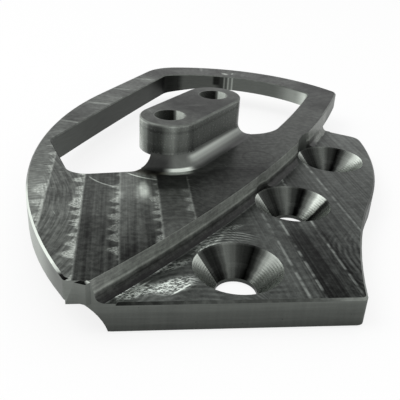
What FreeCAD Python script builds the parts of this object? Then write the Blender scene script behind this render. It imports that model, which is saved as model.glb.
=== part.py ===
import FreeCAD, Part
import math
import os

V = FreeCAD.Vector

# Stepped bracket milled from one block of aluminium, in millimetres, +Z up.
# Origin: axis of the middle countersunk hole, on the underside of the low flange.
# +Y runs along the row of three holes, +X points to the outer edge of the flange.

# heights
FLANGE_T = 6.4          # thickness of the low flange
STEP_H = 5.0            # rise from flange top to plate top
PLATE_TOP = FLANGE_T + STEP_H
PLATE_T = 4.9           # plate thickness on the flange side
ARM_T = 6.7             # plate thickness in the far arm
PLATE_LOW = PLATE_TOP - PLATE_T
ARM_LOW = PLATE_TOP - ARM_T
BOSS_TOP = PLATE_TOP + 10.5
HEAD_LOW = PLATE_TOP + 2.3   # underside of the boss head above the window

# row of countersunk holes
CSK_PITCH = 32.0
CSK_HOLE_R = 4.15
CSK_RIM_R = 9.0
CSK_CLEAR = 6.0         # the cutter clears the step this high above the flange
CSK_ANGLE = 82.0        # included angle of the cone
CSK_LAND = FLANGE_T - (CSK_RIM_R - CSK_HOLE_R) / math.tan(math.radians(CSK_ANGLE / 2))
RELIEF_C = (1.7, 30.0)  # cutter pass that clears the step beside the last hole
RELIEF_R = 10.5

# step line: one big arc shared by step, right arm and window
STEP_C = (-372.2, 24.3)
STEP_R = 364.1          # top edge of the step
STEP_DRAFT = 8.0        # degrees
TOE_R = 1.4             # fillet at the foot of the step
NECK_IN = 2.95          # hollow under the plate where the flange ends
NECK_MID = 1.0          # the same hollow at half height
NECK_Z = 0.3
ARM_W = 8.9             # width of the right arm of the ring

# upper plate outline
TIP_R = 1.5
TIP_A = (-17.1, -57.2)
TIP_B = (-21.4, -58.04)
LEFT_R = 108.2          # bowed side from the tip to the start of the far end
LEFT_END = (-77.6, 30.5)
LEFT_TOP = (-79.7, 62.0)
BACK_C = (-38.8, 30.9)
BACK_R = 56.3
BACK_LEFT_R = 14.0
BACK_RIGHT_R = 3.5

# underside ramp of the far arm
RAMP_A = (-22.6, -57.7)
RAMP_B = (-60.5, 69.9)
RAMP_SLOPE = 0.14

# window outline
WIN_BACK_C = (-39.3, 28.0)
WIN_BACK_R = 48.6
WIN_LEFT_LOW = (-64.0, -10.6)
WIN_LEFT_MID = (-68.5, 27.0)
WIN_LEFT_TOP = (-71.8, 62.5)
WIN_TIP = (-46.5, -24.7)
WIN_ELBOW = (-35.2, -14.9)
WIN_KNEE = (-29.4, 18.8)
WIN_CUP = (-17.8, 27.5)
WIN_R = {"left_low": 3.0, "tip": 5.4, "elbow": 2.5, "knee": 8.0, "cup": 11.6,
         "back_right": 3.0, "back_left": 4.0}

# flange outline
FRONT_A = (-17.8, -56.6)
FRONT_B = (24.9, -28.7)
SIDE_MID = (18.7, -8.3)
SIDE_IN = (15.8, 14.6)
SIDE_OUT = (12.75, 30.9)
SIDE_END = (2.8, 53.7)
FLANGE_BACK = 53.7
FRONT_R = 1.5
FLANGE_BACK_R = 4.5

# two-hole boss
BOSS_A = (-33.4, -1.5)
BOSS_B = (-32.1, 20.0)
BOSS_R = 7.5
BOSS_HOLE_R = 3.85
BOSS_FOOT_R = 3.5
BOSS_BREAK = 0.3

# edge breaks
PLATE_BREAK = 0.4
FLANGE_BREAK = 0.45
LOW_BREAK = 0.3
WIN_BREAK = 0.3

NODE = "stepped_bracket"


def at(p, z=0.0):
    return V(p[0], p[1], z)


def line(a, b):
    return Part.makeLine(at(a), at(b))


def arc(a, mid, b):
    return Part.Arc(at(a), at(mid), at(b)).toShape()


def on_circle(centre, radius, degrees):
    t = math.radians(degrees)
    return (centre[0] + radius * math.cos(t), centre[1] + radius * math.sin(t))


def arc_about(centre, radius, a, b):
    """The shorter arc of a known circle from a to b."""
    dx = (a[0] + b[0]) / 2 - centre[0]
    dy = (a[1] + b[1]) / 2 - centre[1]
    k = radius / math.hypot(dx, dy)
    return arc(a, (centre[0] + dx * k, centre[1] + dy * k), b)


def centre_right(a, b, radius):
    """Centre of the circle through a and b that lies to the right of a to b."""
    dx, dy = b[0] - a[0], b[1] - a[1]
    n = math.hypot(dx, dy)
    h = math.sqrt(radius * radius - n * n / 4) / n
    return ((a[0] + b[0]) / 2 + dy * h, (a[1] + b[1]) / 2 - dx * h)


def line_circle(p, q, centre, radius, near):
    """Crossing of the line p-q with a circle, the one closest to near."""
    dx, dy = q[0] - p[0], q[1] - p[1]
    n = math.hypot(dx, dy)
    dx, dy = dx / n, dy / n
    fx, fy = p[0] - centre[0], p[1] - centre[1]
    b = fx * dx + fy * dy
    root = math.sqrt(b * b - (fx * fx + fy * fy - radius * radius))
    hits = [(p[0] + dx * t, p[1] + dy * t) for t in (-b - root, -b + root)]
    return min(hits, key=lambda h: math.dist(h, near))


def circle_circle(c1, r1, c2, r2, near):
    """Crossing of two circles, the one closest to near."""
    d = math.dist(c1, c2)
    a = (r1 * r1 - r2 * r2 + d * d) / (2 * d)
    h = math.sqrt(r1 * r1 - a * a)
    ux, uy = (c2[0] - c1[0]) / d, (c2[1] - c1[1]) / d
    mx, my = c1[0] + ux * a, c1[1] + uy * a
    hits = [(mx - uy * s, my + ux * s) for s in (-h, h)]
    return min(hits, key=lambda k: math.dist(k, near))


def prism(edges, z0, z1):
    face = Part.Face(Part.Wire(Part.__sortEdges__(edges)))
    face.translate(V(0, 0, z0))
    return face.extrude(V(0, 0, z1 - z0))


def upright_near(solid, p, reach=1.0):
    """The vertical edge of a prism that stands closest to p."""
    best = None
    for e in solid.Edges:
        if len(e.Vertexes) != 2:
            continue
        a, b = e.Vertexes[0].Point, e.Vertexes[1].Point
        if math.hypot(a.x - b.x, a.y - b.y) > 1e-4:
            continue
        d = math.hypot(a.x - p[0], a.y - p[1])
        if d < reach and (best is None or d < best[0]):
            best = (d, e)
    return best[1]


def round_corners(solid, corners):
    for p, radius in corners:
        solid = solid.makeFillet(radius, [upright_near(solid, p)])
    return solid


def edges_at(solid, z, keep):
    """Edges lying flat at height z whose middle point passes the test."""
    found = []
    for e in solid.Edges:
        box = e.BoundBox
        if abs(box.ZMin - z) > 1e-4 or abs(box.ZMax - z) > 1e-4:
            continue
        m = e.valueAt((e.FirstParameter + e.LastParameter) / 2)
        if keep(m):
            found.append(e)
    return found


def step_radius(m):
    return math.hypot(m.x - STEP_C[0], m.y - STEP_C[1])


def plate():
    tip = line_circle(TIP_A, TIP_B, STEP_C, STEP_R, TIP_A)
    left_back = line_circle(LEFT_END, LEFT_TOP, BACK_C, BACK_R, LEFT_TOP)
    far = (STEP_C[0] + STEP_R, BACK_C[1] + BACK_R)
    right_back = circle_circle(STEP_C, STEP_R, BACK_C, BACK_R, far)
    edges = [line(tip, TIP_B),
             arc_about(centre_right(TIP_B, LEFT_END, LEFT_R), LEFT_R, TIP_B, LEFT_END),
             line(LEFT_END, left_back),
             arc_about(BACK_C, BACK_R, left_back, right_back),
             arc_about(STEP_C, STEP_R, right_back, tip)]
    body = prism(edges, ARM_LOW, PLATE_TOP)
    body = round_corners(body, [(TIP_B, TIP_R), (left_back, BACK_LEFT_R),
                                (right_back, BACK_RIGHT_R)])
    body = body.cut(ramp())
    outer = edges_at(body, PLATE_TOP, lambda m: step_radius(m) < STEP_R - 0.01)
    body = body.makeChamfer(PLATE_BREAK, outer)
    low = [e for e in body.Edges if e.BoundBox.ZMax < PLATE_LOW + 0.01
           and outline_gap(e) < 0.01]
    return body.makeChamfer(LOW_BREAK, low)


def outline_gap(edge):
    """Distance of an edge's middle from the left side and the tip of the plate."""
    m = edge.valueAt((edge.FirstParameter + edge.LastParameter) / 2)
    left = centre_right(TIP_B, LEFT_END, LEFT_R)
    side = abs(math.hypot(m.x - left[0], m.y - left[1]) - LEFT_R)
    ax, ay = TIP_B[0] - TIP_A[0], TIP_B[1] - TIP_A[1]
    tip = abs((m.x - TIP_A[0]) * ay - (m.y - TIP_A[1]) * ax) / math.hypot(ax, ay)
    return min(side, tip)


def ramp():
    """Space under the plate: flat below the near part, sloping to the far arm."""
    dx, dy = RAMP_B[0] - RAMP_A[0], RAMP_B[1] - RAMP_A[1]
    n = math.hypot(dx, dy)
    along = V(dx / n, dy / n, 0)
    across = V(dy / n, -dx / n, 0)
    run = (PLATE_LOW - ARM_LOW) / RAMP_SLOPE
    start = at(RAMP_A) - along * 40
    pts = [start + across * a + V(0, 0, z) for a, z in
           ((-run, ARM_LOW), (0, PLATE_LOW), (150, PLATE_LOW), (150, -5), (-run, -5))]
    face = Part.Face(Part.makePolygon(pts + pts[:1]))
    return face.extrude(along * (n + 100))


def flange():
    toe = STEP_R + toe_reach()
    corner = (STEP_C[0] + toe, FLANGE_BACK)
    back_left = line_circle(SIDE_END, corner, STEP_C, toe, corner)
    front_left = line_circle(FRONT_A, FRONT_B, STEP_C, toe, FRONT_A)
    edges = [line(front_left, FRONT_B), arc(FRONT_B, SIDE_MID, SIDE_IN),
             arc(SIDE_IN, SIDE_OUT, SIDE_END), line(SIDE_END, back_left),
             arc_about(STEP_C, toe, back_left, front_left)]
    body = prism(edges, 0, FLANGE_T)
    body = round_corners(body, [(FRONT_B, FRONT_R), (SIDE_END, FLANGE_BACK_R)])
    free = edges_at(body, FLANGE_T, lambda m: step_radius(m) > toe + 0.01)
    body = body.makeChamfer(FLANGE_BREAK, free)
    low = edges_at(body, 0, lambda m: True)
    return body.makeChamfer(LOW_BREAK, low)


def toe_reach():
    """How far the foot of the step stands outside its top edge."""
    lean = math.radians(STEP_DRAFT)
    return STEP_H * math.tan(lean) + TOE_R * math.tan((math.pi / 2 - lean) / 2)


def step():
    """Drafted step wall with its foot fillet, and the neck fillet below."""
    lean = math.radians(STEP_DRAFT)
    toe = STEP_R + toe_reach()
    c = (toe, FLANGE_T + TOE_R)
    t_end = (c[0] - TOE_R * math.cos(lean), c[1] - TOE_R * math.sin(lean))
    t_mid = on_circle(c, TOE_R, 225 + STEP_DRAFT / 2)
    neck = toe - NECK_IN
    neck_mid = (toe - NECK_MID, (NECK_Z + PLATE_LOW) / 2)

    def rz(p):
        return V(STEP_C[0] + p[0], STEP_C[1], p[1])
    line_up = [(neck - 2, PLATE_LOW), (neck - 2, PLATE_TOP), (STEP_R, PLATE_TOP), t_end]
    line_down = [(toe, FLANGE_T), (toe + 1, FLANGE_T), (toe + 1, NECK_Z), (toe, NECK_Z)]
    loop = [Part.makeLine(rz(a), rz(b)) for a, b in zip(line_up, line_up[1:])]
    loop.append(Part.Arc(rz(t_end), rz(t_mid), rz(line_down[0])).toShape())
    loop += [Part.makeLine(rz(a), rz(b)) for a, b in zip(line_down, line_down[1:])]
    loop.append(Part.Arc(rz(line_down[-1]), rz(neck_mid), rz((neck, PLATE_LOW))).toShape())
    loop.append(Part.makeLine(rz((neck, PLATE_LOW)), rz(line_up[0])))
    face = Part.Face(Part.Wire(loop))
    face.rotate(at(STEP_C), V(0, 0, 1), -15)
    band = face.revolve(at(STEP_C), V(0, 0, 1), 22)
    slope = (FRONT_B[1] - FRONT_A[1]) / (FRONT_B[0] - FRONT_A[0])
    left = 2 * FRONT_A[0]
    front = FRONT_A[1] + slope * (left - FRONT_A[0])
    keep = [line((left, front), FRONT_B), line(FRONT_B, (FRONT_B[0], FLANGE_BACK)),
            line((FRONT_B[0], FLANGE_BACK), (left, FLANGE_BACK)),
            line((left, FLANGE_BACK), (left, front))]
    return band.common(prism(keep, -1, BOSS_TOP))


def boss(grow=0.0):
    """Boss block, or the same outline grown sideways."""
    r = BOSS_R + grow
    dx, dy = BOSS_B[0] - BOSS_A[0], BOSS_B[1] - BOSS_A[1]
    n = math.hypot(dx, dy)
    ux, uy = dx / n * r, dy / n * r
    a1, a2 = (BOSS_A[0] + uy, BOSS_A[1] - ux), (BOSS_A[0] - uy, BOSS_A[1] + ux)
    b1, b2 = (BOSS_B[0] + uy, BOSS_B[1] - ux), (BOSS_B[0] - uy, BOSS_B[1] + ux)
    edges = [line(a1, b1), arc(b1, (BOSS_B[0] + ux, BOSS_B[1] + uy), b2), line(b2, a2),
             arc(a2, (BOSS_A[0] - ux, BOSS_A[1] - uy), a1)]
    return prism(edges, PLATE_TOP - 1, BOSS_TOP)


def window(top):
    """Cutter for the window, up to the given height."""
    inner = STEP_R - ARM_W
    far = (STEP_C[0] + inner, WIN_BACK_C[1] + WIN_BACK_R)
    right_back = circle_circle(STEP_C, inner, WIN_BACK_C, WIN_BACK_R, far)
    cup = line_circle(WIN_KNEE, WIN_CUP, STEP_C, inner, WIN_CUP)
    edges = [arc(WIN_LEFT_LOW, WIN_LEFT_MID, WIN_LEFT_TOP),
             arc_about(WIN_BACK_C, WIN_BACK_R, WIN_LEFT_TOP, right_back),
             arc_about(STEP_C, inner, right_back, cup),
             line(cup, WIN_KNEE), line(WIN_KNEE, WIN_ELBOW), line(WIN_ELBOW, WIN_TIP),
             line(WIN_TIP, WIN_LEFT_LOW)]
    body = prism(edges, -1, top)
    return round_corners(body, [
        (WIN_LEFT_LOW, WIN_R["left_low"]), (WIN_TIP, WIN_R["tip"]),
        (WIN_ELBOW, WIN_R["elbow"]), (WIN_KNEE, WIN_R["knee"]), (cup, WIN_R["cup"]),
        (right_back, WIN_R["back_right"]), (WIN_LEFT_TOP, WIN_R["back_left"])])


def window_break():
    """Shallow flared cutter that breaks the top edge of the window."""
    low = [f for f in window(PLATE_TOP).Faces if f.BoundBox.ZMax < -0.9][0]
    grown = low.makeOffset2D(WIN_BREAK)
    grown.translate(V(0, 0, PLATE_TOP - WIN_BREAK + 1))
    body = grown.extrude(V(0, 0, WIN_BREAK + 1))
    foot = edges_at(body, PLATE_TOP - WIN_BREAK, lambda m: True)
    return body.makeChamfer(WIN_BREAK, foot).cut(boss(BOSS_FOOT_R))


def countersink(y):
    """Cone and through hole of one fixing hole, cut from the flange top."""
    pts = [(0, -1), (CSK_HOLE_R, -1), (CSK_HOLE_R, CSK_LAND), (CSK_RIM_R, FLANGE_T),
           (CSK_RIM_R, FLANGE_T + CSK_CLEAR), (0, FLANGE_T + CSK_CLEAR)]
    pts = [V(r, y, z) for r, z in pts]
    face = Part.Face(Part.makePolygon(pts + pts[:1]))
    return face.revolve(V(0, y, 0), V(0, 0, 1), 360)


def relief():
    return Part.makeCylinder(RELIEF_R, STEP_H + 1, at(RELIEF_C, FLANGE_T))


def bracket():
    upper = plate().fuse(boss())
    foot = edges_at(upper, PLATE_TOP, near_boss)
    upper = upper.makeFillet(BOSS_FOOT_R, foot)
    rim = edges_at(upper, BOSS_TOP, lambda m: True)
    upper = upper.makeChamfer(BOSS_BREAK, rim)
    foot_top = window(PLATE_TOP + BOSS_FOOT_R + 0.5)
    upper = upper.cut([window(HEAD_LOW), foot_top.cut(boss())])
    upper = upper.cut(window_break())
    body = upper.fuse([flange(), step()])
    for p in (BOSS_A, BOSS_B):
        body = body.cut(Part.makeCylinder(BOSS_HOLE_R, 40, at(p, -2)))
    for k in (-1, 0, 1):
        body = body.cut(countersink(k * CSK_PITCH))
    body = body.cut(relief())
    return body.removeSplitter()


def near_boss(m):
    """True for a point within the reach of the boss outline."""
    mx, my = (BOSS_A[0] + BOSS_B[0]) / 2, (BOSS_A[1] + BOSS_B[1]) / 2
    return math.hypot(m.x - mx, m.y - my) < math.dist(BOSS_A, BOSS_B) / 2 + BOSS_R + 1


os.makedirs("parts", exist_ok=True)
shape = bracket()
shape.exportStep("parts/" + NODE + ".step")
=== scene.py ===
import math

import bmesh
import bpy
from mathutils import Matrix, Vector

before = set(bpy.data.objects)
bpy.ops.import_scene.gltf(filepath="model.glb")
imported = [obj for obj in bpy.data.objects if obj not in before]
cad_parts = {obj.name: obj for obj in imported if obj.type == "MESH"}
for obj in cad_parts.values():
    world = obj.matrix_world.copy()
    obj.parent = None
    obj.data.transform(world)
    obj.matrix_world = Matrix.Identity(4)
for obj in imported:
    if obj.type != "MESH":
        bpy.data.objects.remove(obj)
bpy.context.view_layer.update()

# Stepped bracket milled from aluminium. Places on the part are in millimetres in its own
# frame. Floor, lamp and camera are placed in metres.
MM = 0.001

# tones of the metal and of the light and shade painted on it, from black at 0 to white at 255 as seen by
# eye
INK = 20
COAL = 35
SLATE = 50
LEAD = 65
STEEL = 80
SATIN = 95
PALE = 115
SILVER = 145
BRIGHT = 180
GLINT = 215
WHITE = 250

# places of the part that the finishes follow
CONE_PITCH = 32.0
CONE_RIM = 9.0
HOLE_R = 4.15
BOSS_FRONT = (-33.4, -1.5)
BOSS_BACK = (-32.1, 20.0)
BOSS_R = 7.5
BOSS_HOLE_R = 3.85
STEP_CENTRE = (-372.2, 24.3)
STEP_R = 364.1
LEFT_CENTRE = (30.4, 36.95)
BACK_CENTRE = (-38.8, 30.9)
WINDOW_MIDDLE = (-48.0, 30.0)
FLANGE_TOP = 6.4
PLATE_TOP = 11.4
BOSS_TOP = 21.9
FOOT_TOP = 14.9

# limits that tell one surface of the part from the next
LEFT_WALL_REACH = 106.5
LEFT_WALL_END_Y = 66
STEP_END_Y = 62
STEP_LEFT_X = -25
TIP_Y = -56

# the cutter ran along the plate and the flange at these angles to +X, in degrees
PLATE_PASS = -56.0
FLANGE_PASS = -52.0


class Nodes:
    """Adds shader nodes to one tree and links them."""

    def __init__(self, tree):
        self.tree = tree

    def add(self, kind, **settings):
        node = self.tree.nodes.new(kind)
        for name, value in settings.items():
            setattr(node, name, value)
        return node

    def put(self, socket, value):
        if isinstance(value, bpy.types.NodeSocket):
            self.tree.links.new(value, socket)
        else:
            socket.default_value = value

    def math(self, operation, a, b=0.0, clamp=False):
        node = self.add("ShaderNodeMath", operation=operation, use_clamp=clamp)
        self.put(node.inputs[0], a)
        self.put(node.inputs[1], b)
        return node.outputs[0]

    def plus(self, a, b):
        return self.math("ADD", a, b)

    def less(self, a, b):
        return self.math("SUBTRACT", a, b)

    def times(self, a, b):
        return self.math("MULTIPLY", a, b)

    def rise(self, value, low, high):
        """Smooth step: 0 at low, 1 at high."""
        node = self.add("ShaderNodeMapRange", interpolation_type="SMOOTHSTEP")
        self.put(node.inputs["Value"], value)
        self.put(node.inputs["From Min"], low)
        self.put(node.inputs["From Max"], high)
        return node.outputs["Result"]

    def between(self, value, low, high, soft):
        """1 between low and high, with soft ends."""
        start = self.rise(value, low - soft, low + soft)
        return self.times(start, self.rise(value, high + soft, high - soft))

    def mix(self, factor, a, b):
        node = self.add("ShaderNodeMix", data_type="FLOAT")
        self.put(node.inputs[0], factor)
        self.put(node.inputs[2], a)
        self.put(node.inputs[3], b)
        return node.outputs[0]

    def vector(self, x, y, z=0.0):
        node = self.add("ShaderNodeCombineXYZ")
        for socket, value in zip(node.inputs, (x, y, z)):
            self.put(socket, value)
        return node.outputs[0]

    def noise(self, vector, scale=1.0, detail=2.0, roughness=0.5):
        node = self.add("ShaderNodeTexNoise")
        self.put(node.inputs["Vector"], vector)
        self.put(node.inputs["Scale"], scale)
        self.put(node.inputs["Detail"], detail)
        self.put(node.inputs["Roughness"], roughness)
        return node.outputs[0]

    def profile(self, value, stops, ease="EASE"):
        """Level that follows a value through (value, level) stops."""
        low, high = stops[0][0], stops[-1][0]
        reach = self.add("ShaderNodeMapRange")
        self.put(reach.inputs["Value"], value)
        self.put(reach.inputs["From Min"], low)
        self.put(reach.inputs["From Max"], high)
        ramp = self.add("ShaderNodeValToRGB")
        ramp.color_ramp.interpolation = ease
        marks = ramp.color_ramp.elements
        while len(marks) < len(stops):
            marks.new(0.5)
        for mark, (place, _) in zip(marks, stops):
            mark.position = (place - low) / (high - low)
        for mark, (_, level) in zip(marks, stops):
            grey = level / 255
            mark.color = (grey, grey, grey, 1.0)
        self.put(ramp.inputs["Fac"], reach.outputs["Result"])
        return self.times(ramp.outputs["Color"], 255.0)

    def turned(self, x, y, degrees):
        """Distance across and along a direction at this angle to +X."""
        c, s = math.cos(math.radians(degrees)), math.sin(math.radians(degrees))
        across = self.less(self.times(y, c), self.times(x, s))
        along = self.plus(self.times(x, c), self.times(y, s))
        return across, along

    def around(self, x, y, centre):
        """Distance from an upright axis, and angle about it in degrees."""
        dx, dy = self.less(x, centre[0]), self.less(y, centre[1])
        reach = self.math("SQRT", self.plus(self.times(dx, dx), self.times(dy, dy)))
        angle = self.times(self.math("ARCTAN2", dy, dx), 180 / math.pi)
        return reach, angle

    def use(self, group, **values):
        node = self.add("ShaderNodeGroup", node_tree=group)
        for name, value in values.items():
            self.put(node.inputs[name.replace("_", " ")], value)
        return node.outputs


def new_group(name, inputs, outputs):
    """Empty group with named number inputs and its outputs, given by kind."""
    tree = bpy.data.node_groups.new(name, "ShaderNodeTree")
    for label, value in inputs.items():
        socket = tree.interface.new_socket(label, in_out="INPUT", socket_type="NodeSocketFloat")
        socket.default_value = value
    for label, kind in outputs.items():
        tree.interface.new_socket(label, in_out="OUTPUT", socket_type=kind)
    nodes = Nodes(tree)
    return nodes, nodes.add("NodeGroupInput").outputs, nodes.add("NodeGroupOutput").inputs


FLOAT = "NodeSocketFloat"


def place_group():
    """Place on the part in millimetres."""
    n, _, out = new_group("Place In Millimetres", {}, {"X": FLOAT, "Y": FLOAT, "Z": FLOAT})
    coords = n.add("ShaderNodeTexCoord")
    split = n.add("ShaderNodeSeparateXYZ")
    n.put(split.inputs[0], coords.outputs["Object"])
    for axis in "XYZ":
        n.put(out[axis], n.times(split.outputs[axis], 1 / MM))
    return n.tree


def tool_lines_group():
    """Fine straight lines that a cutter leaves along its pass."""
    n, given, out = new_group("Tool Lines", {"Across": 0, "Along": 0, "Spacing": 1, "Drift": 0.03},
                              {"Lines": FLOAT})
    spot = n.vector(n.math("DIVIDE", given["Across"], given["Spacing"]),
                    n.times(given["Along"], given["Drift"]))
    n.put(out["Lines"], n.rise(n.noise(spot, 1.0, 2.0, 0.6), 0.25, 0.75))
    return n.tree


def tool_arcs_group():
    """Rows of equal arcs that a round cutter leaves as it moves along."""
    n, given, out = new_group(
        "Tool Arcs", {"Across": 0, "Along": 0, "Centre": 0, "Radius": 9, "Spacing": 1.2, "Wobble": 0.4},
        {"Arcs": FLOAT})
    off = n.less(given["Across"], given["Centre"])
    room = n.less(n.times(given["Radius"], given["Radius"]), n.times(off, off))
    arc = n.math("SQRT", n.math("MAXIMUM", room, 0.0))
    spot = n.vector(given["Across"], given["Along"])
    sway = n.times(n.less(n.noise(spot, 0.35, 2.0), 0.5), given["Wobble"])
    row = n.plus(n.plus(given["Along"], arc), sway)
    wave = n.math("SINE", n.times(n.math("DIVIDE", row, given["Spacing"]), 2 * math.pi))
    fade = n.rise(n.noise(spot, 0.25, 1.0), 0.35, 0.6)
    n.put(out["Arcs"], n.plus(n.times(n.times(wave, 0.5), fade), 0.5))
    return n.tree


def pass_edge_group():
    """Bright uneven line where one cutter pass meets the next."""
    n, given, out = new_group(
        "Pass Edge", {"Across": 0, "Along": 0, "Place": 0, "Width": 0.5, "Waves": 0.6},
        {"Edge": FLOAT})
    spot = n.vector(given["Place"], given["Along"])
    sway = n.times(n.less(n.noise(spot, 0.55, 3.0, 0.7), 0.5), n.times(given["Waves"], 2.0))
    gap = n.math("ABSOLUTE", n.less(n.plus(given["Across"], sway), given["Place"]))
    line = n.less(1.0, n.rise(n.math("DIVIDE", gap, given["Width"]), 0.25, 1.0))
    broken = n.rise(n.noise(spot, 0.3, 2.0), 0.38, 0.58)
    n.put(out["Edge"], n.times(line, broken))
    return n.tree


def scallop_group():
    """Row of half-moon cutter marks on the low side of a pass edge, painted bright as highlights."""
    n, given, out = new_group(
        "Scallops", {"Across": 0, "Along": 0, "Place": 0, "Width": 2.6, "Pitch": 6.5},
        {"Marks": FLOAT})
    row = n.vector(given["Place"], n.times(given["Along"], 0.16))
    phase = n.plus(n.math("DIVIDE", given["Along"], given["Pitch"]), n.times(n.noise(row), 2.5))
    bump = n.math("ABSOLUTE", n.math("SINE", n.times(phase, math.pi)))
    held = n.rise(n.noise(row, 2.2, 1.0), 0.34, 0.62)
    reach = n.times(n.times(n.math("POWER", bump, 0.5), held), given["Width"])
    off = n.less(given["Place"], given["Across"])
    inside = n.times(n.rise(off, n.plus(reach, 0.3), n.less(reach, 0.9)), n.rise(off, -0.15, 0.2))
    spot = n.vector(n.times(given["Across"], 2.0), n.times(given["Along"], 3.2))
    hatch = n.rise(n.noise(spot, 1.0, 2.0, 0.7), 0.36, 0.66)
    n.put(out["Marks"], n.times(inside, n.plus(0.3, n.times(hatch, 0.7))))
    return n.tree


def hatch_group():
    """Crossed short strokes that glitter where two cutter paths meet."""
    n, given, out = new_group("Cutter Hatch", {"X": 0, "Y": 0, "Fineness": 1}, {"Hatch": FLOAT})
    found = None
    for degrees, shift in ((62, 5.0), (20, 17.0)):
        across, along = n.turned(given["X"], given["Y"], degrees)
        size = given["Fineness"]
        spot = n.vector(n.times(across, n.times(size, 2.0)), n.times(along, n.times(size, 0.55)), shift)
        stroke = n.rise(n.noise(spot, 1.0, 2.0, 0.6), 0.46, 0.62)
        found = stroke if found is None else n.math("MAXIMUM", found, stroke)
    n.put(out["Hatch"], found)
    return n.tree


def streak_group():
    """One soft streak of light or shade, turned to an angle in degrees."""
    n, given, out = new_group(
        "Soft Streak", {"X": 0, "Y": 0, "At X": 0, "At Y": 0, "Angle": 0, "Length": 5, "Width": 1},
        {"Streak": FLOAT})
    dx, dy = n.less(given["X"], given["At X"]), n.less(given["Y"], given["At Y"])
    turn = n.times(given["Angle"], math.pi / 180)
    c, s = n.math("COSINE", turn), n.math("SINE", turn)
    along = n.math("DIVIDE", n.plus(n.times(dx, c), n.times(dy, s)), given["Length"])
    across = n.math("DIVIDE", n.less(n.times(dy, c), n.times(dx, s)), given["Width"])
    reach = n.plus(n.times(along, along), n.times(across, across))
    n.put(out["Streak"], n.rise(reach, 1.0, 0.0))
    return n.tree


def grain_group():
    """Fine grain of cut aluminium, and a few small dark pits."""
    n, given, out = new_group("Metal Grain", {"X": 0, "Y": 0, "Z": 0, "Size": 0.4},
                              {"Grain": FLOAT, "Pits": FLOAT, "Cloud": FLOAT})
    spot = n.vector(given["X"], given["Y"], given["Z"])
    fine = n.noise(spot, n.math("DIVIDE", 1.0, given["Size"]), 3.0, 0.65)
    n.put(out["Grain"], fine)
    n.put(out["Pits"], n.rise(n.noise(spot, 1.7, 1.0), 0.76, 0.82))
    n.put(out["Cloud"], n.noise(spot, 0.09, 2.0))
    return n.tree


def scuff_group():
    """Thin bright scratches, sparse and at two angles."""
    n, given, out = new_group("Fine Scratches", {"X": 0, "Y": 0, "Amount": 0.5}, {"Scratches": FLOAT})
    found = None
    for degrees, shift in ((24, 3.0), (-38, 11.0)):
        across, along = n.turned(given["X"], given["Y"], degrees)
        spot = n.vector(n.times(across, 1.4), n.times(along, 0.16), shift)
        line = n.rise(n.noise(spot, 1.0, 1.0), 0.74, 0.8)
        found = line if found is None else n.math("MAXIMUM", found, line)
    n.put(out["Scratches"], n.times(found, given["Amount"]))
    return n.tree


def tone_group():
    """Colour of the metal for a level from 0 (black) to 255 (white) as seen by eye."""
    n, given, out = new_group("Metal Tone", {"Level": 100, "Warmth": 0}, {"Color": "NodeSocketColor"})
    share = n.math("MAXIMUM", n.math("DIVIDE", given["Level"], 255.0), 0.004)
    light = n.math("MINIMUM", n.math("POWER", share, 2.2), 0.95)
    join = n.add("ShaderNodeCombineColor")
    warm = given["Warmth"]
    n.put(join.inputs["Red"], n.times(light, n.plus(0.965, n.times(warm, 0.25))))
    n.put(join.inputs["Green"], n.times(light, n.plus(1.035, n.times(warm, 0.05))))
    n.put(join.inputs["Blue"], n.times(light, n.less(0.955, n.times(warm, 0.3))))
    n.put(out["Color"], join.outputs[0])
    return n.tree


PLACE = place_group()
TOOL_LINES = tool_lines_group()
TOOL_ARCS = tool_arcs_group()
PASS_EDGE = pass_edge_group()
SCALLOPS = scallop_group()
HATCH = hatch_group()
STREAK = streak_group()
GRAIN = grain_group()
SCUFFS = scuff_group()
TONE = tone_group()


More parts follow.
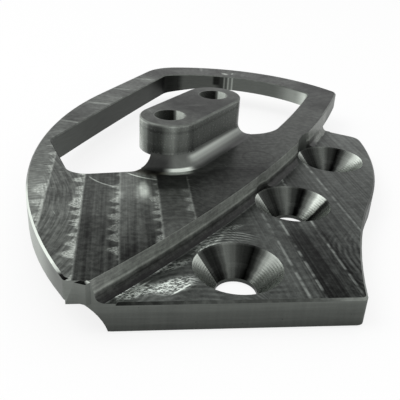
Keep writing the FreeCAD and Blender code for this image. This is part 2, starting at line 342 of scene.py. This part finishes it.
class Finish(Nodes):
    """One metal material, worked out as a level that patterns lighten and darken."""

    def __init__(self, name):
        self.material = bpy.data.materials.new(name)
        self.material.use_nodes = True
        super().__init__(self.material.node_tree)
        self.shader = self.tree.nodes["Principled BSDF"]
        place = self.use(PLACE)
        self.x, self.y, self.z = place["X"], place["Y"], place["Z"]
        grain = self.use(GRAIN, X=self.x, Y=self.y, Z=self.z)
        self.grain, self.pits, self.cloud = grain["Grain"], grain["Pits"], grain["Cloud"]
        self.level = None
        self.height = self.times(self.grain, 0.3)

    def vary(self, pattern, amount):
        """Adds a 0 to 1 pattern to the level, centred on its middle."""
        self.level = self.plus(self.level, self.times(self.less(pattern, 0.5), amount))

    def lift(self, mask, amount):
        self.level = self.plus(self.level, self.times(mask, amount))

    def paint(self, mask, level):
        self.level = self.mix(mask, self.level, level)

    def streak(self, at, angle, length, width, amount):
        mask = self.use(STREAK, X=self.x, Y=self.y, At_X=at[0], At_Y=at[1],
                        Angle=angle, Length=length, Width=width)["Streak"]
        self.lift(mask, amount)

    def hatched(self, at, angle, length, width, amount):
        """A glittering patch of cutter hatch."""
        mask = self.use(STREAK, X=self.x, Y=self.y, At_X=at[0], At_Y=at[1],
                        Angle=angle, Length=length, Width=width)["Streak"]
        self.lift(self.times(mask, self.use(HATCH, X=self.x, Y=self.y, Fineness=1.5)["Hatch"]), amount)

    def mottle(self, size, amount):
        """Uneven patches of about this size."""
        spot = self.noise(self.vector(self.x, self.y, self.z), 1.0 / size, 3.0, 0.7)
        self.vary(self.rise(spot, 0.3, 0.7), amount)

    def raise_by(self, pattern, amount):
        self.height = self.plus(self.height, self.times(pattern, amount))

    def close(self, warmth=0.0, roughness=0.34, swing=0.12, bump=0.25, metallic=1.0, gain=1.0):
        self.vary(self.grain, 10.0)
        self.lift(self.pits, -22.0)
        tone = self.use(TONE, Level=self.times(self.level, gain), Warmth=warmth)
        self.put(self.shader.inputs["Base Color"], tone["Color"])
        self.put(self.shader.inputs["Metallic"], metallic)
        self.put(self.shader.inputs["Specular Tint"], (0.78, 0.78, 0.78, 1.0))
        rough = self.plus(roughness, self.times(self.less(self.grain, 0.5), swing))
        self.put(self.shader.inputs["Roughness"], rough)
        node = self.add("ShaderNodeBump")
        node.inputs["Strength"].default_value = bump
        node.inputs["Distance"].default_value = 0.05 * MM
        self.put(node.inputs["Height"], self.height)
        self.put(self.shader.inputs["Normal"], node.outputs[0])
        return self.material


def plate_top_finish():
    """Top of the plate: five cutter passes, the smooth field and the ring."""
    f = Finish("plate_top_milled")
    u, v = f.turned(f.x, f.y, PLATE_PASS)
    f.level = f.profile(v, [(-12, SATIN), (3, PALE), (14, SATIN), (40, SATIN)])
    passes = [
        (-56.7, [(-3, STEEL), (34, STEEL)]),
        (-48.8, [(0, LEAD), (10, LEAD), (18, SLATE), (33, SLATE)]),
        (-40.8, [(0, SATIN), (4, SATIN), (9, STEEL), (18, LEAD), (31, COAL)]),
        (-32.3, [(-2, STEEL), (14, LEAD), (24, STEEL), (32, LEAD)]),
        (-25.3, [(-22, SLATE), (-11, SLATE), (-8, COAL), (3, SLATE), (16, SLATE)])]
    sway = f.times(f.less(f.noise(f.vector(v, 0.0), 0.4, 2.0), 0.5), 1.4)
    wavy = f.plus(u, sway)
    for start, stops in passes:
        f.paint(f.rise(wavy, start - 0.4, start + 0.4), f.profile(v, stops))
    f.paint(f.rise(u, -9.0, 3.0), LEAD)
    arcs = f.use(TOOL_ARCS, Across=u, Along=v, Centre=-57.0, Radius=9.5, Spacing=1.25)["Arcs"]
    low_arcs = f.use(TOOL_ARCS, Across=u, Along=v, Centre=-29.0, Radius=7.0, Spacing=1.3)["Arcs"]
    lines = f.use(TOOL_LINES, Across=u, Along=v, Spacing=0.75)["Lines"]
    bowed = f.plus(u, f.times(f.times(f.less(v, 10.0), f.less(v, 10.0)), 0.011))
    curls = f.use(TOOL_LINES, Across=bowed, Along=v, Spacing=0.55, Drift=0.12)["Lines"]
    f.vary(f.mix(f.between(u, -58, -48.8, 0.4), 0.5, curls), 40.0)
    f.vary(f.mix(f.between(u, -75, -57.0, 0.4), 0.5, arcs), 18.0)
    f.vary(f.mix(f.between(u, -32.3, -22.0, 0.4), 0.5, low_arcs), 12.0)
    f.vary(f.mix(f.between(u, -48.8, -32.3, 0.4), 0.5, lines), 26.0)
    for start, width, light in ((-56.7, 3.4, 62.0), (-48.8, 2.9, 92.0), (-40.8, 2.6, 78.0),
                                (-32.3, 2.3, 84.0), (-25.3, 1.9, 60.0)):
        marks = f.use(SCALLOPS, Across=u, Along=v, Place=start, Width=width)["Marks"]
        f.lift(marks, light)
        f.lift(f.between(u, start - 0.1, start + 0.25, 0.2), 34.0)
    # painted highlight on the pass: a narrow streak with a wider glow round it
    f.streak((-28.0, -21.8), PLATE_PASS, 5.5, 1.5, 62.0)
    f.streak((-27.2, -23.4), PLATE_PASS, 6.5, 2.4, 42.0)
    f.streak((-31.5, -27.5), PLATE_PASS, 4.0, 2.0, 26.0)
    reach, facing = f.around(f.x, f.y, BOSS_FRONT)
    # painted highlight along the tiny step where a shallow round pocket about the boss ends
    ring_step_glint = f.between(reach, 15.3, 15.6, 0.22)
    f.lift(f.times(ring_step_glint, f.between(f.x, -35.5, -22.0, 1.0)), 140.0)
    brown = f.times(f.between(facing, -112.0, -66.0, 8.0), f.rise(reach, 14.6, 12.0))
    f.paint(brown, COAL)
    curve, _ = f.around(f.x, f.y, (-36.5, -12.2))
    f.lift(f.times(f.between(curve, 12.2, 12.5, 0.2), f.between(f.x, -42.0, -34.5, 0.6)), 95.0)
    f.paint(f.times(f.between(u, -32.3, -25.3, 0.3), f.rise(v, 4.0, 1.0)), SLATE)
    # painted reflection: a dark band on the plate right of the boss
    f.paint(f.times(f.rise(reach, 14.0, 13.0), f.rise(f.x, -30.0, -24.0)), SLATE)
    # painted highlight on the plate just outside the foot of the boss, at its front right
    f.lift(f.times(f.between(reach, 10.8, 12.5, 0.5), f.between(facing, -66.0, -34.0, 8.0)), 170.0)

    left_arm = f.times(f.rise(f.y, -16.0, -6.0), f.rise(f.x, -48.0, -56.0))
    far_arm = f.rise(f.y, 52.0, 62.0)
    ring = f.math("MAXIMUM", left_arm, far_arm)
    right_arm = f.times(f.rise(f.y, 46.0, 58.0), f.rise(f.x, -30.0, -20.0))
    shade = f.less(STEEL, f.plus(f.times(far_arm, 20.0), f.times(right_arm, 18.0)))
    f.paint(ring, f.plus(shade, f.times(f.less(f.cloud, 0.5), 60.0)))
    # painted highlights at the back edge of the window
    f.streak((-54.8, 77.6), 10.0, 1.6, 0.9, 120.0)
    f.streak((-52.6, 79.4), 100.0, 1.4, 0.5, 90.0)
    for at, angle in (((-76.1, 52.4), 30), ((-74.9, 38.0), 24), ((-71.9, 21.5), 18),
                      ((-69.1, 3.3), 10), ((-66.0, 79.5), -60)):
        f.streak(at, angle, 6.0, 0.9, 42.0)
    _, turn = f.around(f.x, f.y, BACK_CENTRE)
    cuts = f.noise(f.vector(f.times(turn, 0.5), f.times(f.cloud, 3.0)), 1.0, 3.0, 0.6)
    f.vary(f.mix(ring, 0.5, f.rise(cuts, 0.3, 0.7)), 18.0)

    swirl, _ = f.around(f.x, f.y, (-13.5, 10.0))
    f.lift(f.between(swirl, 3.7, 4.2, 0.3), -14.0)
    f.vary(f.cloud, 18.0)
    f.lift(f.use(SCUFFS, X=f.x, Y=f.y, Amount=0.5)["Scratches"], 70.0)
    f.mottle(1.3, 22.0)
    f.raise_by(arcs, 0.5)
    f.raise_by(lines, 0.4)
    return f.close(warmth=f.times(brown, 0.5), roughness=0.36, gain=1.14)


def flange_top_finish():
    """Top of the low flange: long slanted passes with arcs near both ends."""
    f = Finish("flange_top_milled")
    u, v = f.turned(f.x, f.y, FLANGE_PASS)
    sway = f.times(f.less(f.noise(f.vector(v, 0.0), 0.35, 2.0), 0.5), 1.2)
    wavy = f.plus(u, sway)
    f.level = f.profile(wavy, [
        (-48, STEEL), (-36, STEEL), (-31, LEAD), (-6, LEAD), (-5.5, SLATE), (-2, SLATE),
        (-1.4, LEAD), (1.2, LEAD), (1.8, SLATE), (5, SLATE), (10, LEAD), (22, LEAD),
        (28, STEEL), (44, STEEL)])
    arcs = f.use(TOOL_ARCS, Across=u, Along=v, Centre=-30.0, Radius=14.0, Spacing=1.5)["Arcs"]
    side_arcs = f.use(TOOL_ARCS, Across=v, Along=u, Centre=26.0, Radius=16.0, Spacing=1.2)["Arcs"]
    lines = f.use(TOOL_LINES, Across=u, Along=v, Spacing=0.7, Drift=0.02)["Lines"]
    near = f.rise(u, -10.0, -16.0)
    side = f.times(f.rise(v, 12.0, 20.0), f.rise(u, -2.0, 4.0))
    f.vary(f.mix(near, 0.5, arcs), 24.0)
    f.vary(f.mix(side, 0.5, side_arcs), 30.0)
    f.vary(f.mix(near, lines, 0.5), 26.0)
    for place, light in ((-8.9, 40.0), (-5.8, 60.0), (1.4, 60.0), (11.0, 36.0)):
        edge = f.use(PASS_EDGE, Across=u, Along=v, Place=place, Width=0.45, Waves=0.08)["Edge"]
        f.lift(edge, light)
    for at, angle, length, width, light in (
            ((-13.2, -49.6), 60, 5.5, 2.4, 150.0), ((-7.4, -43.6), 62, 6.0, 2.6, 140.0),
            ((-10.2, -46.6), 62, 7.0, 2.0, 70.0), ((-11.0, -38.5), 62, 7.0, 1.6, 80.0),
            ((-8.8, -27.5), 78, 7.0, 1.6, 110.0), ((-7.6, -19.4), 62, 4.5, 1.3, 70.0)):
        f.hatched(at, angle, length, width, light)
    reach, turn = f.around(f.x, f.y, (0.0, -CONE_PITCH))
    ripple = f.math("SINE", f.times(f.plus(reach, f.times(f.cloud, 2.0)), 7.0))
    nearby = f.times(f.between(reach, 10.0, 13.6, 0.4), f.between(turn, 100.0, 158.0, 12.0))
    f.lift(f.times(f.rise(ripple, 0.3, 0.9), nearby), 62.0)
    f.lift(f.times(f.between(reach, 9.0, 9.5, 0.2), f.between(turn, 120.0, 178.0, 8.0)), 60.0)
    f.streak((-5.9, -44.3), 74.0, 3.2, 0.28, 120.0)
    f.streak((-12.6, -47.0), 78.0, 3.0, 0.28, 90.0)
    f.vary(f.cloud, 26.0)
    f.lift(f.use(SCUFFS, X=f.x, Y=f.y, Amount=0.4)["Scratches"], 60.0)
    f.lift(f.times(f.between(u, -6.5, 2.6, 0.8), f.rise(v, 10.0, 16.0)), -24.0)
    f.mottle(1.6, 18.0)
    f.raise_by(lines, 0.5)
    f.raise_by(arcs, 0.4)
    return f.close(warmth=-0.04, roughness=0.33, gain=1.14)


def step_wall_finish():
    """Drafted step wall: a painted reflection with a light upper edge, one bright highlight line and a
    dark foot.
    """
    f = Finish("step_wall_milled")
    f.level = f.profile(f.z, [(FLANGE_TOP, INK), (7.6, SLATE), (8.4, STEEL), (8.9, SILVER),
                              (9.4, PALE), (11.2, PALE), (PLATE_TOP, SILVER)])
    reach, turn = f.around(f.x, f.y, STEP_CENTRE)
    spot = f.vector(f.times(turn, 1.6), f.times(f.z, 2.6))
    f.vary(f.rise(f.noise(spot, 1.0, 3.0, 0.6), 0.3, 0.7), 22.0)
    # painted reflection: the wall is lighter towards its far end
    f.paint(f.rise(f.y, 38.0, 44.0), PALE)
    f.vary(f.cloud, 26.0)
    f.mottle(1.2, 24.0)
    return f.close(warmth=0.03, roughness=0.4, metallic=0.45)


def side_wall_finish():
    """Outer walls: darker towards the underside as a painted reflection, with level cutter lines."""
    f = Finish("outer_wall_milled")
    f.level = f.profile(f.z, [(0, LEAD), (3, STEEL), (6, SATIN), (PLATE_TOP, PALE)])
    spot = f.vector(f.times(f.x, 0.08), f.times(f.y, 0.08), f.times(f.z, 1.9))
    f.vary(f.noise(spot, 1.0, 3.0, 0.6), 18.0)
    upright = f.vector(f.times(f.x, 1.1), f.times(f.y, 1.1), f.times(f.z, 0.08))
    f.vary(f.noise(upright, 1.0, 2.0), 10.0)
    return f.close(roughness=0.42)


def left_wall_finish():
    """Bowed left wall, which catches the light."""
    f = Finish("left_wall_milled")
    f.level = f.profile(f.y, [(-57, PALE), (-50, BRIGHT), (-30, GLINT), (0, BRIGHT),
                              (40, SILVER), (80, PALE)])
    spot = f.vector(f.times(f.x, 0.1), f.times(f.y, 0.1), f.times(f.z, 1.7))
    f.vary(f.noise(spot, 1.0, 3.0), 22.0)
    return f.close(roughness=0.38)


def window_left_finish():
    """Inner wall on the left of the window."""
    f = Finish("window_left_wall")
    # painted reflection, darker towards the back, and darker along the top edge
    f.level = f.profile(f.y, [(-12, STEEL), (18, LEAD), (47, LEAD), (58, SLATE), (63, COAL),
                              (68, SLATE)])
    f.paint(f.rise(f.z, 10.9, 11.35), COAL)
    f.vary(f.noise(f.vector(f.times(f.y, 0.2), f.times(f.z, 1.8)), 1.0, 3.0), 16.0)
    return f.close(roughness=0.4)


def window_back_finish():
    """Inner wall at the back of the window, with a painted reflection that is lighter towards the right
    corner.
    """
    f = Finish("window_back_wall")
    f.level = f.profile(f.x, [(-72, COAL), (-69, COAL), (-66.5, STEEL), (-57, STEEL),
                              (-54.5, SLATE), (-51, SATIN), (-35, SATIN), (-26, SILVER),
                              (-21, GLINT)])
    f.paint(f.rise(f.z, 10.9, 11.35), LEAD)
    f.paint(f.times(f.between(f.x, -57.2, -55.0, 0.5), f.rise(f.z, 7.5, 8.5)), COAL)
    # painted highlights on three narrow upright strips where the wall is scalloped
    for place in (-53.6, -52.2, -50.8):
        f.lift(f.between(f.x, place, place + 0.5, 0.3), 60.0)
    f.vary(f.noise(f.vector(f.times(f.x, 0.3), f.times(f.z, 1.8)), 1.0, 3.0), 16.0)
    return f.close(roughness=0.4)


def window_side_finish():
    """Inner walls on the near and right side of the window."""
    f = Finish("window_side_wall")
    f.level = f.plus(SATIN, f.times(f.less(f.cloud, 0.5), 40.0))
    f.vary(f.noise(f.vector(f.times(f.x, 0.3), f.times(f.z, 1.8)), 1.0, 3.0), 16.0)
    return f.close(roughness=0.4)


def boss_angle(f):
    """Angle round the boss outline: 0 on the whole flat right side."""
    lean = (BOSS_BACK[0] - BOSS_FRONT[0]) / (BOSS_BACK[1] - BOSS_FRONT[1])
    low = f.math("MAXIMUM", f.y, BOSS_FRONT[1])
    held = f.math("MINIMUM", low, BOSS_BACK[1])
    dy = f.less(f.y, held)
    axis_x = f.plus(BOSS_FRONT[0] - lean * BOSS_FRONT[1], f.times(held, lean))
    dx = f.less(f.x, axis_x)
    return f.times(f.math("ARCTAN2", dy, dx), 180 / math.pi)


def boss_side_finish():
    """Polished boss flank: upright bands of light and dark, a painted reflection."""
    f = Finish("boss_side_polished")
    turn = boss_angle(f)
    f.level = f.profile(turn, [
        (-180, SILVER), (-155, GLINT), (-130, GLINT), (-110, SILVER), (-100, STEEL), (-90, LEAD),
        (-78, LEAD), (-66, PALE), (-55, SILVER), (-43, PALE), (-30, PALE), (-12, STEEL),
        (0, SATIN), (20, SATIN), (90, PALE), (150, SILVER), (180, SILVER)])
    f.lift(f.times(f.between(turn, -8, 8, 3), f.rise(f.y, 4.0, 22.0)), 12.0)
    f.vary(f.noise(f.vector(f.times(turn, 0.25), f.times(f.z, 0.1), f.y), 1.0, 2.0), 26.0)
    f.lift(f.between(f.z, 19.6, 20.3, 0.3), -16.0)
    # painted highlight along the top rim
    f.lift(f.rise(f.z, 21.0, 21.6), 46.0)
    f.lift(f.rise(f.z, 17.0, 14.9), -16.0)
    return f.close(roughness=0.26, metallic=0.3)


def boss_foot_finish():
    """Fillet at the foot of the boss, with painted shade on the front left, a painted highlight low at
    the front right and a painted highlight strip along the right side.
    """
    f = Finish("boss_foot_fillet")
    turn = boss_angle(f)
    # level of the right side by height: a painted highlight strip
    right = f.profile(f.z, [(PLATE_TOP, SLATE), (11.9, SATIN), (12.6, SILVER), (13.4, BRIGHT),
                            (14.2, PALE), (FOOT_TOP, SATIN)])
    shade = f.profile(f.z, [(PLATE_TOP, COAL), (12.2, COAL), (FOOT_TOP, LEAD)])
    f.level = f.mix(f.rise(turn, -70.0, -48.0), shade, SATIN)
    f.lift(f.times(f.between(turn, -62.0, -26.0, 9.0), f.between(f.z, 11.3, 11.7, 0.12)), 165.0)
    f.paint(f.rise(turn, -30.0, -12.0), right)
    f.lift(f.rise(f.y, 4.0, 24.0), -26.0)
    f.vary(f.noise(f.vector(f.times(turn, 0.2), f.z), 1.0, 2.0), 16.0)
    return f.close(roughness=0.3, metallic=0.35)


def boss_top_finish():
    """Matt top of the boss with faint rings round both holes."""
    f = Finish("boss_top_milled")
    f.level = f.profile(f.y, [(-10, STEEL), (0, STEEL), (7, SLATE), (14, SLATE), (22, STEEL),
                              (30, SATIN)])
    for centre in (BOSS_FRONT, BOSS_BACK):
        reach, _ = f.around(f.x, f.y, centre)
        f.vary(f.math("SINE", f.times(reach, 7.0)), 3.0)
        f.lift(f.between(reach, BOSS_HOLE_R, BOSS_HOLE_R + 0.35, 0.2), 24.0)
    f.streak((-39.5, 3.0), 84.0, 8.0, 2.6, 16.0)
    f.streak((-31.5, 9.5), 40.0, 5.0, 0.8, 26.0)
    f.mottle(2.2, 26.0)
    f.vary(f.cloud, 24.0)
    f.lift(f.use(SCUFFS, X=f.x, Y=f.y, Amount=0.4)["Scratches"], 60.0)
    return f.close(roughness=0.36)


def cone_finish(name, centre_y, stops):
    """Turned cone of a countersink: a painted reflection in sharp light and dark sectors, and fine rings.
    """
    f = Finish(name)
    reach, turn = f.around(f.x, f.y, (0.0, centre_y))
    blur = f.plus(turn, f.times(f.less(f.noise(f.vector(f.times(reach, 0.6), 0.0), 1.0, 2.0), 0.5), 14.0))
    f.level = f.profile(blur, stops)
    f.vary(f.noise(f.vector(f.times(turn, 0.3), f.times(reach, 0.15)), 1.0, 2.0), 24.0)
    f.vary(f.noise(f.vector(f.times(reach, 3.0), 0.0), 1.0, 2.0), 14.0)
    # painted shade towards the hole, and lighter at the rim
    f.lift(f.rise(reach, 6.0, 4.2), -12.0)
    f.lift(f.rise(reach, 8.6, 8.95), 14.0)
    f.raise_by(f.math("SINE", f.times(reach, 16.0)), 0.3)
    return f.close(roughness=0.28)


def bore_finish(name):
    """Reamed wall of a hole."""
    f = Finish(name)
    f.level = f.profile(f.z, [(0, LEAD), (7, SLATE), (BOSS_TOP, LEAD)])
    f.vary(f.noise(f.vector(f.x, f.y, f.times(f.z, 3.0)), 1.0, 2.0), 20.0)
    return f.close(roughness=0.3)


def boss_bore_finish(name, centre):
    """Hole wall in the boss: dark, with a painted reflection as a bright strip at the far right, and
    painted shade deeper down.
    """
    f = Finish(name)
    _, turn = f.around(f.x, f.y, centre)
    f.level = f.profile(turn, [(-180, PALE), (0, PALE), (40, BRIGHT), (62, WHITE), (92, WHITE),
                               (100, PALE), (110, COAL), (135, SLATE), (160, LEAD), (180, SATIN)])
    f.lift(f.rise(f.z, 19.5, 17.0), -30.0)
    f.vary(f.noise(f.vector(f.times(turn, 0.2), f.times(f.z, 0.6)), 1.0, 2.0), 14.0)
    return f.close(roughness=0.26, metallic=0.2)


def break_finish(name, place, stops):
    """Narrow broken edge, worn lighter in places; its level, painted highlight and painted shade along
    the edge, follows X or Y.
    """
    f = Finish(name)
    worn = f.rise(f.noise(f.vector(f.x, f.y, f.z), 0.35, 3.0, 0.6), 0.42, 0.62)
    f.level = f.profile(f.y if place == "Y" else f.x, stops)
    f.lift(worn, 16.0)
    return f.close(roughness=0.3)


def underside_finish():
    """Underside: flat milled with long straight lines."""
    f = Finish("underside_milled")
    u, v = f.turned(f.x, f.y, 90.0)
    f.level = f.plus(SATIN, f.times(f.less(f.cloud, 0.5), 50.0))
    lines = f.use(TOOL_LINES, Across=u, Along=v, Spacing=0.9)["Lines"]
    f.vary(lines, 24.0)
    for place in (-60.0, -44.0, -28.0, -12.0, 4.0):
        edge = f.use(PASS_EDGE, Across=u, Along=v, Place=place, Width=0.5, Waves=0.2)["Edge"]
        f.lift(edge, 30.0)
    f.raise_by(lines, 0.5)
    return f.close(roughness=0.36)


# painted highlight along the left edge of the plate, and painted shade and light along the edge of the
# flange
LEFT_EDGE_HIGHLIGHT = [(-57.2, INK), (-56.4, GLINT), (-54, WHITE), (-38, WHITE), (-30, SILVER), (-22, STEEL),
             (88, SATIN)]
FLANGE_EDGE_SHADE_AND_SHEEN = [(-20, INK), (-12, COAL), (0, LEAD), (14, LEAD), (25, PALE)]

# painted reflections of the cones: light and dark sectors, by angle about each hole in degrees
NEAR_CONE_REFLECTION = [(-180, BRIGHT), (-90, GLINT), (-30, BRIGHT), (0, GLINT), (30, GLINT), (50, BRIGHT),
                (60, BRIGHT), (68, SILVER), (76, STEEL), (85, COAL), (92, INK), (100, COAL),
                (110, SLATE), (122, STEEL), (133, SATIN), (142, LEAD), (152, COAL), (165, COAL),
                (175, LEAD), (180, LEAD)]
MIDDLE_CONE_REFLECTION = [(-180, BRIGHT), (-90, GLINT), (-20, BRIGHT), (10, BRIGHT), (25, SILVER),
                  (35, LEAD), (40, LEAD), (46, WHITE), (60, WHITE), (70, SILVER), (80, STEEL),
                  (90, INK), (96, INK), (104, SLATE), (120, SATIN), (135, LEAD), (150, COAL),
                  (165, SLATE), (180, LEAD)]
FAR_CONE_REFLECTION = [(-180, BRIGHT), (-90, GLINT), (10, GLINT), (35, WHITE), (50, GLINT), (62, SILVER),
               (70, PALE), (82, SLATE), (90, INK), (105, SLATE), (122, SATIN), (136, LEAD),
               (150, COAL), (172, COAL), (180, LEAD)]

FINISHES = {
    "plate top": plate_top_finish(),
    "flange top": flange_top_finish(),
    "step wall": step_wall_finish(),
    "outer wall": side_wall_finish(),
    "left wall": left_wall_finish(),
    "window left": window_left_finish(),
    "window back": window_back_finish(),
    "window side": window_side_finish(),
    "boss side": boss_side_finish(),
    "boss foot": boss_foot_finish(),
    "boss top": boss_top_finish(),
    "cone near": cone_finish("countersink_near", -CONE_PITCH, NEAR_CONE_REFLECTION),
    "cone middle": cone_finish("countersink_middle", 0.0, MIDDLE_CONE_REFLECTION),
    "cone far": cone_finish("countersink_far", CONE_PITCH, FAR_CONE_REFLECTION),
    "bore": bore_finish("fixing_hole_wall"),
    "boss bore front": boss_bore_finish("boss_hole_front_wall", BOSS_FRONT),
    "boss bore back": boss_bore_finish("boss_hole_back_wall", BOSS_BACK),
    "plate break": break_finish("plate_edge_break", "Y", LEFT_EDGE_HIGHLIGHT),
    # painted shade along the edge at the tip
    "tip break": break_finish("tip_edge_break", "X", [(-30, INK), (-16, INK)]),
    "flange break": break_finish("flange_edge_break", "X", FLANGE_EDGE_SHADE_AND_SHEEN),
    "boss break": break_finish("boss_edge_break", "X", [(-42, SILVER), (-24, SATIN)]),
    "underside": underside_finish(),
}


def far_from(p, centre):
    return math.hypot(p.x - centre[0], p.y - centre[1])


def boss_reach(p):
    """Distance from the line between the two boss holes."""
    ax, ay = BOSS_FRONT
    dx, dy = BOSS_BACK[0] - ax, BOSS_BACK[1] - ay
    t = ((p.x - ax) * dx + (p.y - ay) * dy) / (dx * dx + dy * dy)
    t = min(max(t, 0.0), 1.0)
    return math.hypot(p.x - ax - dx * t, p.y - ay - dy * t)


def round_surface(p, normal):
    """Name of the hole or cone that a facet belongs to, if any."""
    for name, k in (("cone near", -1), ("cone middle", 0), ("cone far", 1)):
        reach = far_from(p, (0.0, k * CONE_PITCH))
        if reach < CONE_RIM + 0.1 and 0.5 < normal.z < 0.9 and p.z < FLANGE_TOP:
            return name
        if reach < HOLE_R + 0.1 and abs(normal.z) < 0.3 and p.z < 2.0:
            return "bore"
    for name, centre in (("boss bore front", BOSS_FRONT), ("boss bore back", BOSS_BACK)):
        if far_from(p, centre) < BOSS_HOLE_R + 0.1 and abs(normal.z) < 0.3:
            return name
    return None


def top_surface(p):
    if p.z > BOSS_TOP - 0.1:
        return "boss top"
    if p.z > PLATE_TOP - 0.05:
        return "plate top"
    return "flange top"


def boss_surface(p, normal):
    """Name of the boss surface that a facet belongs to, if any."""
    if p.z < PLATE_TOP + 0.001 or p.z > BOSS_TOP - 0.001:
        return None
    if p.z > BOSS_TOP - 0.3 and 0.5 < normal.z < 0.9:
        return "boss break"
    if p.z < FOOT_TOP and boss_reach(p) > BOSS_R + 0.02:
        return "boss foot"
    return "boss side"


def faces_out(p, normal, centre):
    """How squarely a facet faces away from an upright axis, from -1 to 1."""
    away = Vector((p.x - centre[0], p.y - centre[1], 0.0)).normalized()
    flat = Vector((normal.x, normal.y, 0.0))
    return away.dot(flat.normalized())


def wall_surface(p, normal):
    """Name of an upright or slanted wall below the plate top."""
    step = far_from(p, STEP_CENTRE)
    if step > STEP_R - 0.2 and p.z > FLANGE_TOP and p.y < STEP_END_Y and p.x > STEP_LEFT_X:
        slanted = normal.z > 0.05 and faces_out(p, normal, STEP_CENTRE) > 0.85
        return "step wall" if slanted or p.y > -50 else "outer wall"
    if step > STEP_R - 3.5 and p.z < FLANGE_TOP:
        return "outer wall"
    if faces_out(p, normal, WINDOW_MIDDLE) > 0:
        on_left = far_from(p, LEFT_CENTRE) > LEFT_WALL_REACH and p.y < LEFT_WALL_END_Y and p.x < -20
        return "left wall" if on_left else "outer wall"
    if p.x < -62 and p.y < LEFT_WALL_END_Y:
        return "window left"
    if p.y > 60 and normal.y < -0.35:
        return "window back"
    return "window side"


def surface_name(p, normal):
    name = round_surface(p, normal) or boss_surface(p, normal)
    if name:
        return name
    if normal.z > 0.97:
        return top_surface(p)
    if normal.z < -0.5:
        return "underside"
    if abs(normal.z - 0.707) < 0.12 and p.z > PLATE_TOP - 0.45:
        on_tip = p.y < TIP_Y and normal.y < -0.4 and normal.x > -0.3
        return "tip break" if on_tip else "plate break"
    if abs(normal.z - 0.707) < 0.12 and FLANGE_TOP - 0.5 < p.z < FLANGE_TOP:
        if far_from(p, STEP_CENTRE) > STEP_R + 3:
            return "flange break"
    return wall_surface(p, normal)


def dress(node):
    """Gives every facet of the part the finish of its surface."""
    mesh = node.data
    mesh.materials.clear()
    order = {}
    for name, material in FINISHES.items():
        order[name] = len(mesh.materials)
        mesh.materials.append(material)
    for facet in mesh.polygons:
        facet.material_index = order[surface_name(facet.center / MM, facet.normal)]


def floor_material():
    """Pale floor that stays near white to the eye and in reflections, and keeps a shadow."""
    material = bpy.data.materials.new("pale_floor")
    material.use_nodes = True
    n = Nodes(material.node_tree)
    shader = n.tree.nodes["Principled BSDF"]
    shader.inputs["Base Color"].default_value = (0.96, 0.96, 0.96, 1.0)
    shader.inputs["Roughness"].default_value = 0.9
    shader.inputs["Specular IOR Level"].default_value = 0.0
    glow = n.add("ShaderNodeEmission")
    seen = n.times(seen_directly(n), 0.82)
    blend = n.add("ShaderNodeMixShader")
    n.put(blend.inputs["Fac"], seen)
    n.put(blend.inputs[1], shader.outputs[0])
    n.put(blend.inputs[2], glow.outputs[0])
    n.put(n.tree.nodes["Material Output"].inputs["Surface"], blend.outputs[0])
    return material


def seen_directly(n):
    """1 for rays from the camera, a mirror or glass."""
    path = n.add("ShaderNodeLightPath").outputs
    first = n.math("MAXIMUM", path["Is Camera Ray"], path["Is Glossy Ray"])
    return n.math("MAXIMUM", first, path["Is Transmission Ray"])


def add_floor():
    mesh = bpy.data.meshes.new("floor")
    shape = bmesh.new()
    bmesh.ops.create_circle(shape, cap_ends=True, radius=3.0, segments=96)
    bmesh.ops.translate(shape, vec=(0.0, 0.0, -0.2 * MM), verts=shape.verts)
    shape.to_mesh(mesh)
    shape.free()
    floor = bpy.data.objects.new("floor", mesh)
    bpy.context.scene.collection.objects.link(floor)
    mesh.materials.append(floor_material())


def light_world():
    world = bpy.data.worlds.new("studio")
    bpy.context.scene.world = world
    world.use_nodes = True
    n = Nodes(world.node_tree)
    strength = n.mix(seen_directly(n), 0.82, 1.0)
    n.put(n.tree.nodes["Background"].inputs["Color"], (1.0, 1.0, 1.0, 1.0))
    n.put(n.tree.nodes["Background"].inputs["Strength"], strength)


def add_soft_lamp(name, place, aim, size, watts):
    lamp = bpy.data.lights.new(name, "AREA")
    lamp.shape = "DISK"
    lamp.size = size
    lamp.energy = watts
    thing = bpy.data.objects.new(name, lamp)
    thing.location = place
    thing.visible_glossy = False
    thing.rotation_euler = (Vector(aim) - Vector(place)).to_track_quat("-Z", "Y").to_euler()
    bpy.context.scene.collection.objects.link(thing)


# camera: place in metres, way it looks over the floor, tilt down and roll in degrees,
# lens and sensor in millimetres
CAMERA_AT = (0.0339, -0.1211, 0.0695)
CAMERA_WAY = (-0.4346, 0.9006)
CAMERA_DOWN = 27.28
CAMERA_ROLL = 3.45
CAMERA_LENS = 52.4
CAMERA_SENSOR = 36.0


def add_camera():
    down, roll = math.radians(CAMERA_DOWN), math.radians(CAMERA_ROLL)
    way = Vector((CAMERA_WAY[0], CAMERA_WAY[1], 0.0)).normalized()
    ahead = way * math.cos(down) + Vector((0.0, 0.0, -math.sin(down)))
    level = Vector((way.y, -way.x, 0.0))
    upright = level.cross(ahead)
    right = level * math.cos(roll) + upright * math.sin(roll)
    up = upright * math.cos(roll) - level * math.sin(roll)
    data = bpy.data.cameras.new("camera")
    data.lens = CAMERA_LENS
    data.sensor_width = CAMERA_SENSOR
    data.clip_start = 0.005
    camera = bpy.data.objects.new("camera", data)
    turn = Matrix((right, up, -ahead)).transposed().to_4x4()
    camera.matrix_world = Matrix.Translation(CAMERA_AT) @ turn
    bpy.context.scene.collection.objects.link(camera)
    bpy.context.scene.camera = camera


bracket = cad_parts["stepped_bracket"]
dress(bracket)
add_floor()
light_world()
add_soft_lamp("soft_key", (-0.35, -0.25, 0.65), (-0.03, 0.01, 0.0), 0.5, 1.6)
add_camera()
bpy.context.scene.view_settings.view_transform = "Standard"
